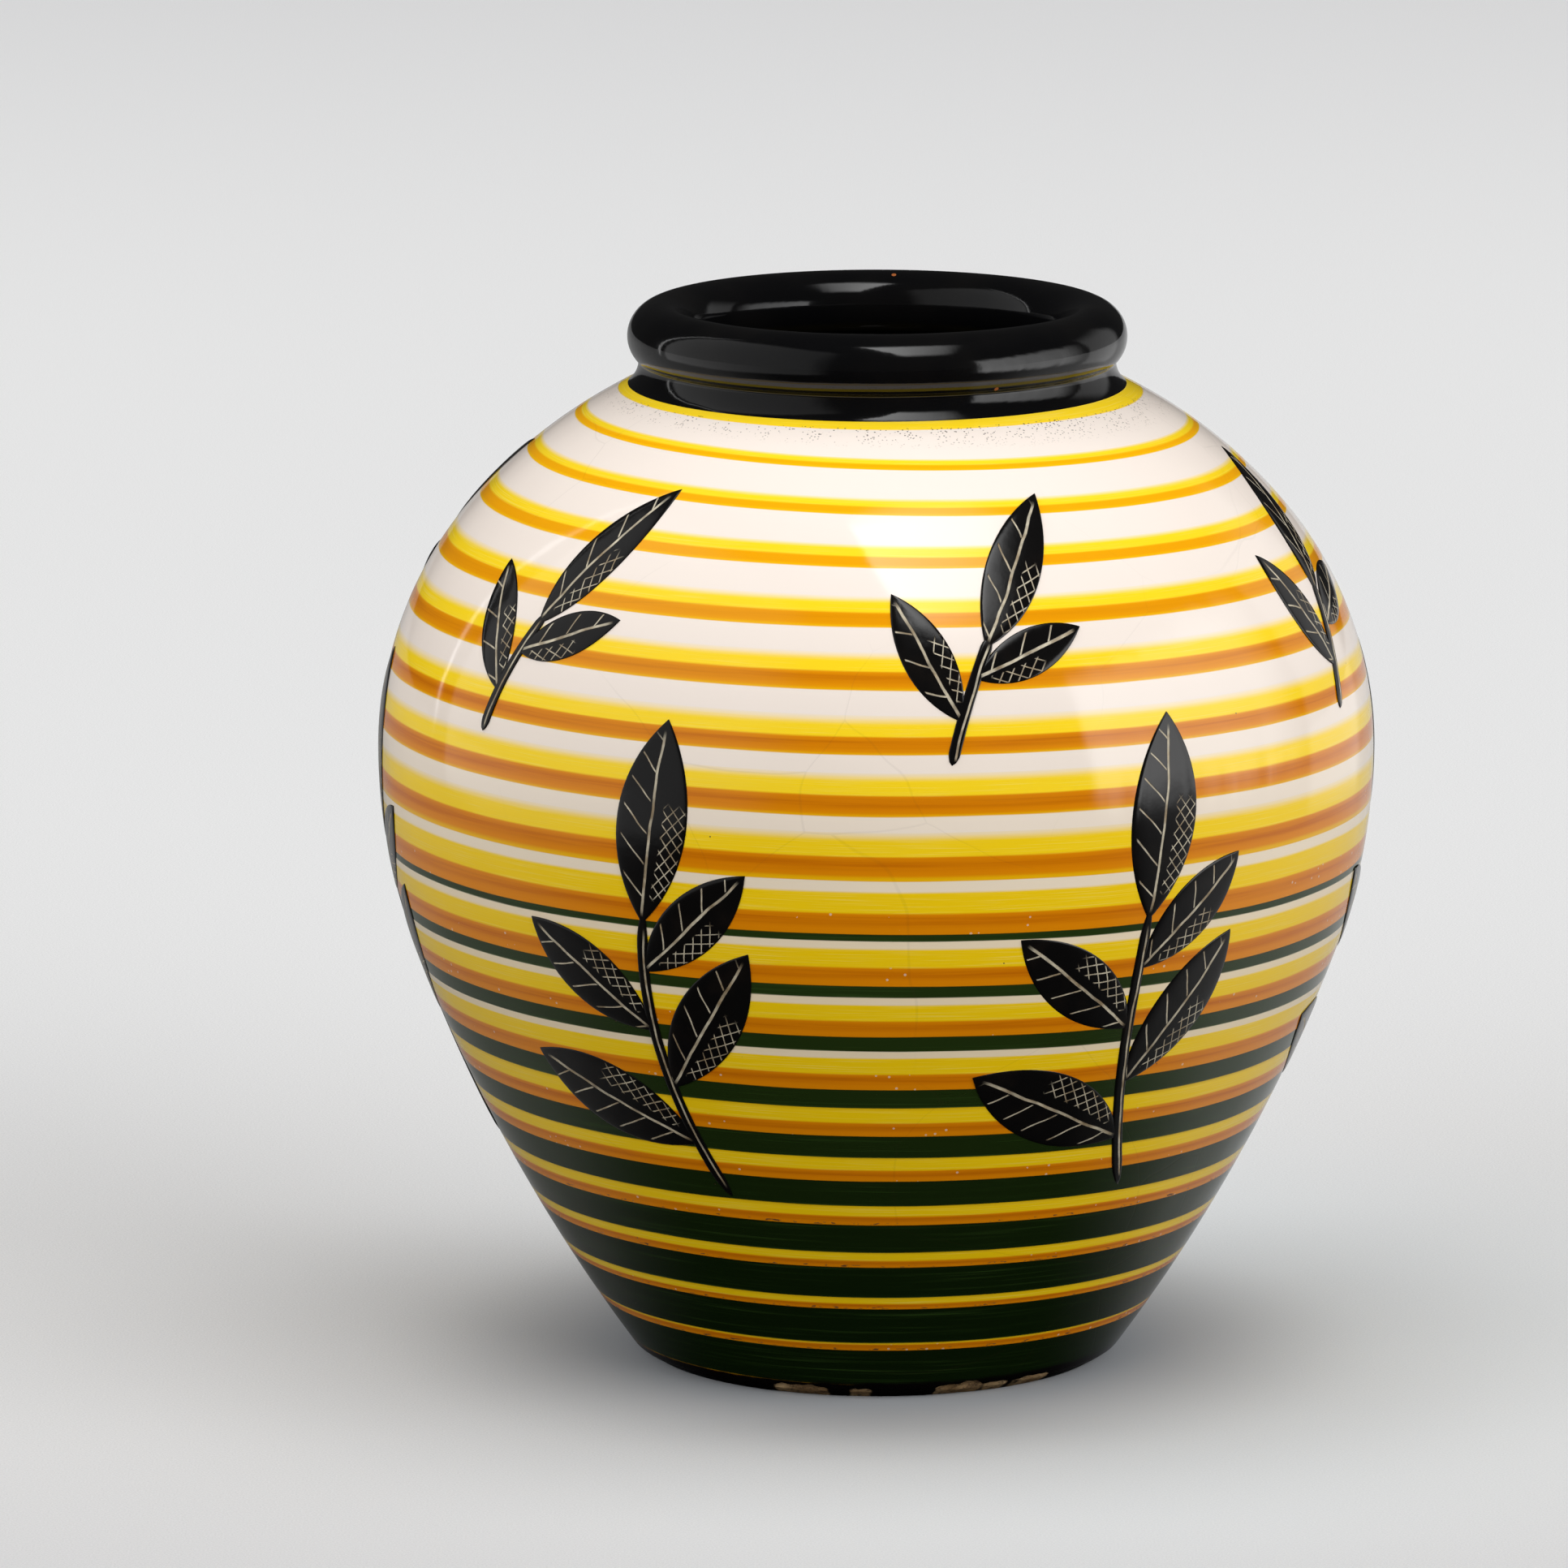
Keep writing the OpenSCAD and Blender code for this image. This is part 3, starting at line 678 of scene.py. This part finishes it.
def rounded():
    # one ring of a raised stroke: across from -1 to 1 over the top and back underneath, and its height
    over = -np.cos(np.linspace(0, math.pi, sprigs["top"]))
    back = np.cos(np.linspace(0, math.pi, sprigs["under"] + 2))[1:-1]
    height = np.concatenate([np.sqrt(1 - np.abs(over) ** sprigs["square"]), np.full(sprigs["under"], -1.0)])
    return np.concatenate([over, back]), height


def stroke(drawn, half, along, row, turnTo, seed, kind):
    # a drawn stroke (rows of points, a half width each) laid on the wall and raised
    over, height = rounded()
    tangent = np.gradient(drawn, axis=0)
    tangent = tangent / np.linalg.norm(tangent, axis=1, keepdims=True)
    side = np.stack([tangent[:, 1], -tangent[:, 0]], -1)
    flat = drawn[:, None, :] + side[:, None, :] * (half[:, None] * over[None, :])[..., None]
    flat = turned(flat, row["tilt"]) + np.array([0, row["z"]])
    u, z = flat[..., 0], flat[..., 1]
    r, lean = ringAt(z)
    thin = np.sqrt(np.minimum(1, half[:, None] / sprigs["thin"]))  # narrow strokes are lower
    lift = np.where(height > 0, sprigs["rise"] * height * thin, sprigs["sunk"] * height)
    angle = np.arcsin(u / r) + math.radians(turnTo)
    points = around(r + lift * np.cos(lean), z + lift * np.sin(lean), angle)
    shape = points.shape[:2]
    return skin(points, False, across=half[:, None] * over[None, :],
                along=np.broadcast_to(along[:, None], shape),
                spread=np.broadcast_to(over[None, :], shape),
                share=np.broadcast_to((along / along[-1])[:, None], shape),
                seed=np.full(shape, seed), leafy=np.full(shape, kind))


def leafStroke(base, degrees, length, row, turnTo, seed):
    # a lens between two circular arcs, from its base to its tip
    width = length * sprigs["plump"]
    arc = (length ** 2 + width ** 2) / (4 * width)
    y = length * (1 - np.cos(np.linspace(0, math.pi, sprigs["rows"]))) / 2
    half = np.sqrt(arc ** 2 - (y - length / 2) ** 2) - (arc - width / 2)
    drawn = turned(np.stack([0 * y, y], -1), degrees) + base
    return stroke(drawn, np.maximum(half, 0), y, row, turnTo, seed, 1.0)


def stalkPoint(t):
    # a place on the stalk: an arc of radius bend that starts upright and leans to the right
    return sprigs["bend"] * np.stack([1 - np.cos(t), np.sin(t)], -1)


def sprigRow(name, row, node, material, draw):
    # sprigs evenly round the vase: a stalk, leaves on its two sides in turn and one at its tip
    skins = []
    turn = row["stalk"] / sprigs["bend"]
    steps = 2 * row["pairs"]
    for k in range(sprigs["count"]):
        turnTo = row["first"] + k * 360 / sprigs["count"]
        t = np.linspace(0, turn, sprigs["rows"])
        ends = np.minimum(1, np.minimum(t, turn - t) / (turn * sprigs["endShare"]))
        half = sprigs["stalkW"] / 2 * np.sqrt(ends)
        skins.append(stroke(stalkPoint(t), half, t * sprigs["bend"], row, turnTo, draw.random(), 0.0))
        for step in range(steps):
            at = turn * (step + 1) / (steps + 1)
            lean = sprigs["lean"] * (1 if step % 2 == 0 else -1)
            length = row["leaf"] * (1 - sprigs["taper"] * at / turn)
            skins.append(leafStroke(stalkPoint(at), lean - math.degrees(at), length, row, turnTo, draw.random()))
        tip = stalkPoint(turn) + turned(np.array([0, -sprigs["stalkW"]]), -math.degrees(turn))
        skins.append(leafStroke(tip, -math.degrees(turn), row["leaf"], row, turnTo, draw.random()))
    makePiece(name, skins, material, "black_slip", node)


scratch = dict(midrib=0.26, vein=0.17, veinStep=6.4, hatch=0.14, hatchStep=2.7, slant=0.85,  # mm, and mm per mm
               hatchSlant=1.1, crossSlant=1.3, crossStep=1.15, stemAt=0.35, stemW=(0.26, 0.16), sway=1.2,
               swayStep=110, veinSway=2, hatchSway=1.4, ragged=0.12, raggedStep=900, ribRagged=0.1,
               faint=0.28, faintStep=500,
               # where they start and end, as shares of a leaf's length, and of its half width from the midrib
               baseAt=(0.03, 0.08), tipAt=(0.95, 0.88), netFrom=(0.12, 0.16), netTo=(0.62, 0.56),
               veinIn=(-0.06, -0.1), veinOut=(-0.86, -0.8), netIn=(0.3, 0.36), netOut=(0.97, 0.92))


def raisedSlip():
    material, place = startMaterial("raised slip")
    across = place.attribute("across")
    along = place.attribute("along")
    spread = place.attribute("spread")
    share = place.attribute("share")
    leafy = place.attribute("leafy")
    seed = place.attribute("seed")
    sway = place.noise(scratch["swayStep"], 1) - 0.5
    jitter = place.noise(scratch["raggedStep"], 2) - 0.5

    def lines(at, step, width):  # scratched lines where at passes whole steps
        off = ((at / step + seed * 7).math("FRACT") - 0.5).size() * step
        return (off + jitter * scratch["ragged"]).fade(width + 0.1, width - 0.04)

    middle = share.fade(*scratch["baseAt"]) * share.fade(*scratch["tipAt"])
    midrib = (across + sway * scratch["sway"] + jitter * scratch["ribRagged"]).size()
    midrib = midrib.fade(scratch["midrib"] + 0.08, scratch["midrib"] - 0.06)
    veins = along - across.size() * scratch["slant"] + sway * scratch["veinSway"]
    veins = lines(veins, scratch["veinStep"], scratch["vein"])
    veins = veins * spread.fade(*scratch["veinIn"]) * spread.fade(*scratch["veinOut"])
    patch = spread.fade(*scratch["netIn"]) * spread.fade(*scratch["netOut"])
    net = along + across * scratch["hatchSlant"] + sway * scratch["hatchSway"]
    net = lines(net, scratch["hatchStep"], scratch["hatch"])
    crossed = lines(along - across * scratch["crossSlant"] + sway, scratch["hatchStep"] * scratch["crossStep"],
                    scratch["hatch"])
    net = net.most(crossed) * patch * share.fade(*scratch["netFrom"]) * share.fade(*scratch["netTo"])
    stem = (across - scratch["stemAt"] + sway).size().fade(*scratch["stemW"]) * (1 - leafy)
    marks = (midrib.most(veins).most(net) * leafy * middle).most(stem * middle)
    marks = marks * (place.noise(scratch["faintStep"], 2) + scratch["faint"]).least(1)
    ground = place.noise(slipTones["groundStep"], 2).fade(*slipTones["groundIn"])
    ground = ground.mix(slipTones["cream"], slipTones["tan"])
    tone = place.noise(slipTones["brownStep"], 3).fade(*slipTones["brownIn"]) * slipTones["brownShare"]
    tone = marks.mix(tone.mix(slipTones["black"], slipTones["brown"]), ground)
    rough = place.noise(slipTones["patchStep"], 2) * slipTones["patchy"]
    rough = rough + marks * slipTones["scratchRough"] + slipTones["rough"]
    height = place.noise(slipTones["grainStep"], 3) * slipTones["grainUp"] - marks * slipTones["scratchDown"]
    ripple = place.noise(slipTones["rippleStep"], 2).bump(*slipTones["ripple"])
    normal = height.bump(*slipTones["relief"], ripple)
    endMaterial(place, Base_Color=tone, Roughness=rough, Normal=normal, IOR=1.5)
    return material


clay = bareClay("bare clay", False)
bodyCoat(bandedGlaze())
print("glazed body made, wall", round(wallLen, 1), "mm long")
rimCoat(blackGlaze("black glaze"))
liningCoat(blackGlaze("lining glaze"))
footRing(bareClay("foot clay", True))
print("rim, lining and foot made")
slip = raisedSlip()
draw = np.random.default_rng(sprigs["seed"])
sprigRow("belly_leaves", sprigs["belly"], "belly_sprigs", slip, draw)
sprigRow("shoulder_leaves", sprigs["shoulder"], "shoulder_sprigs", slip, draw)
print("leaf sprigs made")

# Clay and slip members that the coats cover keep their solids
for name in ("foot_slip", "lower_bowl", "belly_slip", "shoulder_dome", "neck_slip", "neck_collar", "rim_slip",
             "rolled_rim"):
    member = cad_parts[name]
    member.data.materials.clear()
    member.data.materials.append(clay)

# Floor: a plain pale sweep, painted a little brighter behind the vase, with a painted shadow round the foot
floor = dict(radius=7.0, columns=96, rows=40, dim=srgb(229, 229, 230), bright=srgb(252, 252, 252),
             paintedShadow=srgb(187, 190, 194), cool=srgb(238, 249, 255), grain=srgb(175, 175, 176),
             bounce=srgb(112, 111, 109), mirrored=srgb(4, 4, 4), rightShare=0.68, leftShare=0.37,
             front=(-0.3, 0.15), back=(3.0, 1.2), glow=(0.26, 0.1), sides=(-0.15, 0.1), shadeOut=(0.17, 0.08),
             footShade=(0.04, 0.11), across=(-0.1, 0.1),  # places in metres
             shadeTurn=(0, -0.6), mirrorTurn=(-0.8, 0), shadeShare=0.2, coolLeast=0.08, coolMore=0.3,
             grainStep=2400, grainIn=(0.3, 0.7), grainShare=0.2)


def makeFloor():
    # a disc: rings spaced with the square of the row, closed at the middle
    share = np.linspace(0, 1, floor["rows"])[:, None] ** 2
    angle = turnAngles(floor["columns"])[None, :]
    points = around(share * floor["radius"], 0 * share, angle)
    flat = points[1:].reshape(-1, 3)
    here = np.arange(floor["columns"])
    after = (here + 1) % floor["columns"]
    row = np.arange(floor["rows"] - 2)[:, None] * floor["columns"] + 1
    up = row + floor["columns"]
    quads = np.stack([row + here, up + here, up + after, row + after], -1).reshape(-1, 4)
    middle = np.stack([np.zeros_like(here), 1 + here, 1 + after], -1)
    mesh = bpy.data.meshes.new("floor")
    mesh.from_pydata(np.concatenate([points[0, :1], flat]), [], quads.tolist() + middle.tolist())
    material, place = startMaterial("pale floor")
    x = place.node("ShaderNodeSeparateXYZ", {}, {0: place})
    y = x.part(1)
    ray = place.node("ShaderNodeLightPath", {}, {}, "Is Camera Ray")
    out = (x * x + y * y).math("SQRT").most(0.001)
    turn = y / out  # -1 in front of the vase, 1 behind it
    # painted light: the floor's colour is dimmer in front of the vase and far behind it, brighter just behind it
    tone = (y.fade(*floor["front"]) * y.fade(*floor["back"])).mix(floor["dim"], floor["bright"])
    grain = place.noise(floor["grainStep"], 2).fade(*floor["grainIn"])
    tone = (grain * floor["grainShare"]).mix(tone, floor["grain"])
    cooled = out.fade(*floor["glow"]) * (x.fade(*floor["sides"]) * floor["coolMore"] + floor["coolLeast"])
    tone = cooled.mix(tone, floor["cool"])  # painted cool tint: evens out the warm light bounced from the vase onto the floor, more on the right
    shade = out.fade(*floor["shadeOut"]) * turn.fade(*floor["shadeTurn"]) * floor["shadeShare"]
    tone = shade.mix(tone, floor["paintedShadow"])  # painted shadow: deepens the vase's shade in front of the foot
    tone = out.fade(*floor["footShade"]).mix(floor["paintedShadow"], tone)  # and painted shadow right round the foot
    pale = x.fade(*floor["across"]) * (floor["rightShare"] - floor["leftShare"]) + floor["leftShare"]
    pale = pale * turn.fade(*floor["mirrorTurn"])
    mirrored = pale.mix(floor["mirrored"], tone)  # in reflections it is dark in front and dimmer on the left
    bounced = ray.part("Is Glossy Ray").mix(floor["bounce"], mirrored)
    tone = ray.mix(bounced, tone)
    shader = place.node("ShaderNodeBsdfDiffuse", {}, {"Color": tone})
    place.node("ShaderNodeOutputMaterial", {}, {"Surface": shader})
    mesh.materials.append(material)
    piece = bpy.data.objects.new("floor", mesh)
    scene.collection.objects.link(piece)


makeFloor()

# Far lamps light the vase evenly and aren't mirrored: direction and spread in degrees seen from it, brightness.
# The two with lit leave out the floor.
lamps = dict(
    overhead=dict(azimuth=180, elevation=85, wide=80, tall=36, glow=1.46),
    rightSide=dict(azimuth=55, elevation=15, wide=60, tall=50, glow=3.3),
    leftSide=dict(azimuth=-50, elevation=15, wide=60, tall=50, glow=2.25),
    rightHigh=dict(azimuth=120, elevation=45, wide=60, tall=40, glow=0.9, lit=vase),
    leftHigh=dict(azimuth=-120, elevation=45, wide=60, tall=40, glow=1.75, lit=vase))
# Near panels are what the glaze mirrors and light nothing else: metres, brightness at the front and far ends and
# at the lower and upper ones, and the share of the panel that each of the four edges is soft over
panels = dict(
    right=dict(azimuth=75, reach=0.36, wide=0.45, low=0.08, high=0.38, ends=(3.2, 0.9), levels=(0.9, 0.7),
               soft=(0.05, 0.3, 0.22, 0.22), folds=0.35),
    rightBack=dict(azimuth=124, reach=0.5, wide=0.3, low=0.0, high=0.5, ends=(0.55, 0.4), levels=(1.0, 0.7),
                   soft=(0.1, 0.2, 0.1, 0.3)),
    left=dict(azimuth=-66, reach=0.5, wide=1.04, low=0.0, high=1.2, ends=(0.24, 0.54), levels=(1.0, 0.8),
              soft=(0.2, 0.02, 0.05, 0.2)),
    leftLine=dict(azimuth=-115, reach=0.5, wide=0.012, low=0.1, high=1.0, ends=(2.5, 2.5), levels=(1.0, 1.0),
                  soft=(0.3, 0.3, 0.1, 0.3)))
topPanel = dict(centre=(0.315, -0.474, 1.2), turn=20.4, wide=0.55, deep=1.0, ends=(4.8, 0.6), levels=(0.8, 1.0),
                soft=(0.03, 0.3, 0.35, 0.15))
room = dict(lampReach=40.0, aim=(0, 0, 0.12), fill=0.14, shade=0.02, backdrop=srgb(232, 232, 232),
            foldsAcross=16, foldsUp=0.6)


def areaLamp(name, place, facing, wide, tall):
    # a rectangle at a place, turned to shine against its facing, at brightness 1 all over
    light = bpy.data.lights.new(name, "AREA")
    light.shape = "RECTANGLE"
    light.size = wide
    light.size_y = tall
    light.energy = math.pi * wide * tall
    lamp = bpy.data.objects.new(name, light)
    lamp.location = place
    lamp.rotation_mode = "QUATERNION"
    lamp.rotation_quaternion = facing
    scene.collection.objects.link(lamp)
    return lamp


def towards(azimuth, elevation):
    # unit vector out from the vase, by degrees round it from the front and up from level
    a, e = math.radians(azimuth), math.radians(elevation)
    return Vector((math.sin(a) * math.cos(e), -math.cos(a) * math.cos(e), math.sin(e)))


def farLamp(name, azimuth, elevation, wide, tall, glow, lit=None):
    # a lamp far off that faces the vase and fills the given angles seen from it
    way = towards(azimuth, elevation)
    spread = [2 * room["lampReach"] * math.tan(math.radians(angle / 2)) for angle in (wide, tall)]
    lamp = areaLamp(name, Vector(room["aim"]) + way * room["lampReach"], way.to_track_quat("Z", "Y"), *spread)
    lamp.data.energy *= glow
    lamp.visible_glossy = False
    lamp.light_linking.receiver_collection = lit


def mirroredOnly(lamp, ends, levels, soft, flip, folds=0.0):
    # brightness over the panel: end to end, low to high, with soft edges and upright folds as of cloth
    light = lamp.data
    light.use_nodes = True
    light.node_tree.nodes.clear()
    at = Val(light.node_tree).node("ShaderNodeNewGeometry", {}, {}, "Parametric")
    at = at.node("ShaderNodeSeparateXYZ", {}, {0: at})
    u, v = at, at.part(1)
    if flip:
        u = 1 - u
    if folds:
        fold = at.join(u * room["foldsAcross"], v * room["foldsUp"], 0.0).noise(1, 3, 0.6) - 0.5
        v = v + fold * folds
    glow = (u * (ends[1] - ends[0]) + ends[0]) * (v * (levels[1] - levels[0]) + levels[0])
    glow = glow * u.fade(0, soft[0]) * u.fade(1, 1 - soft[1]) * v.fade(0, soft[2]) * v.fade(1, 1 - soft[3])
    if folds:
        glow = glow * (1 + fold * (2 * folds))
    shine = at.node("ShaderNodeEmission", {}, {"Color": glow})
    at.node("ShaderNodeOutputLight", {}, {"Surface": shine})
    lamp.visible_diffuse = False


def nearPanel(name, azimuth, reach, wide, low, high, **looks):
    # an upright panel that faces the axis from reach away
    way = towards(azimuth, 0)
    lamp = areaLamp(name, way * reach + Vector((0, 0, (low + high) / 2)), way.to_track_quat("Z", "Y"), wide,
                    high - low)
    mirroredOnly(lamp, flip=azimuth < 0, **looks)


def overPanel(name, centre, turn, wide, deep, **looks):
    # a level panel that faces down
    lamp = areaLamp(name, centre, Quaternion((0, 0, 1), math.radians(turn)), wide, deep)
    mirroredOnly(lamp, flip=False, **looks)


for name, looks in lamps.items():
    farLamp(name, **looks)
for name, looks in panels.items():
    nearPanel(name + "Panel", **looks)
overPanel("overPanel", **topPanel)


def makeWorld():
    # pale to the camera, a dim fill to the surfaces and nearly dark in reflections
    world = bpy.data.worlds.new("room")
    world.use_nodes = True
    world.node_tree.nodes.clear()
    scene.world = world
    start = Val(world.node_tree)
    ray = start.node("ShaderNodeLightPath", {}, {}, "Is Camera Ray")
    level = ray.part("Is Glossy Ray") * (room["shade"] - room["fill"]) + room["fill"]
    fill = start.node("ShaderNodeBackground", {}, {"Color": (1, 1, 1, 1), "Strength": level})
    pale = start.node("ShaderNodeBackground", {}, {"Color": room["backdrop"], "Strength": 1.0})
    both = start.node("ShaderNodeMixShader", {}, {0: ray, 1: fill, 2: pale})
    start.node("ShaderNodeOutputWorld", {}, {"Surface": both})


makeWorld()
print("floor and lights made")
